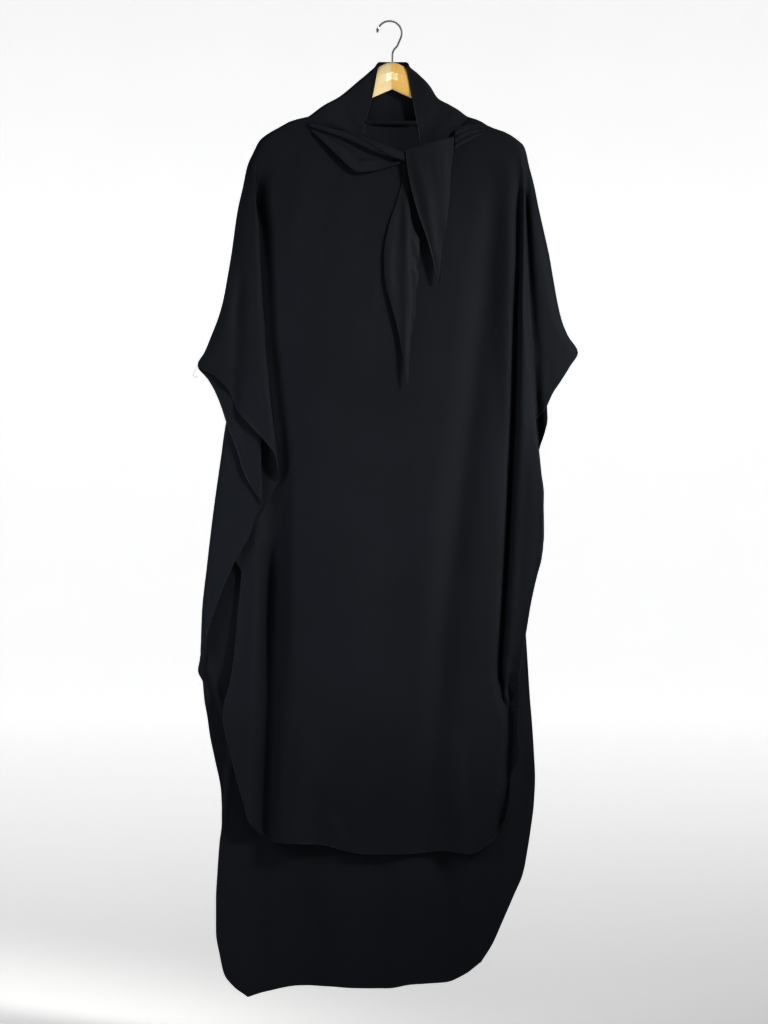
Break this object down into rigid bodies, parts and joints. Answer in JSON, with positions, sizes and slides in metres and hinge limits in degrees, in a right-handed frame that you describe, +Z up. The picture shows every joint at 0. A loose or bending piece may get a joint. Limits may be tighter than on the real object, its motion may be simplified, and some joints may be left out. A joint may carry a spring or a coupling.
{
  "type": "khimar on a hanger",
  "caption": "Long loose overhead garment in thin crepe with batwing sleeves, wrapped hood, knotted front ties and a longer back hem, hung flat on a wooden hanger.",
  "frame": {"origin": "underside of the crown of the hanger's hook, where a rail carries it", "axes": "+Z up, opposite to the hang of the garment; -Y out of the garment's front; +X to the right of someone who faces its front"},
  "size_m": [0.6488, 0.0665, 1.6733],
  "materials": {
    "crepe": "matt black crepe with a faint sheen",
    "pale_wood": "clear varnish",
    "golden_wood": "clear varnish",
    "steel": "polished wire"
  },
  "bodies": {
    "root": {"front_panel": "crepe", "back_panel": "crepe", "hood": "crepe", "chin_piece": "crepe", "left_tie_roll": "crepe", "left_tie_loose_fold": "crepe", "left_tie_long_tail": "crepe", "right_tie_gathers": "crepe", "right_tie_short_tail": "crepe", "hanger_left_arm": "pale_wood", "hanger_right_arm": "golden_wood", "hook": "steel"}
  },
  "joints": []
}
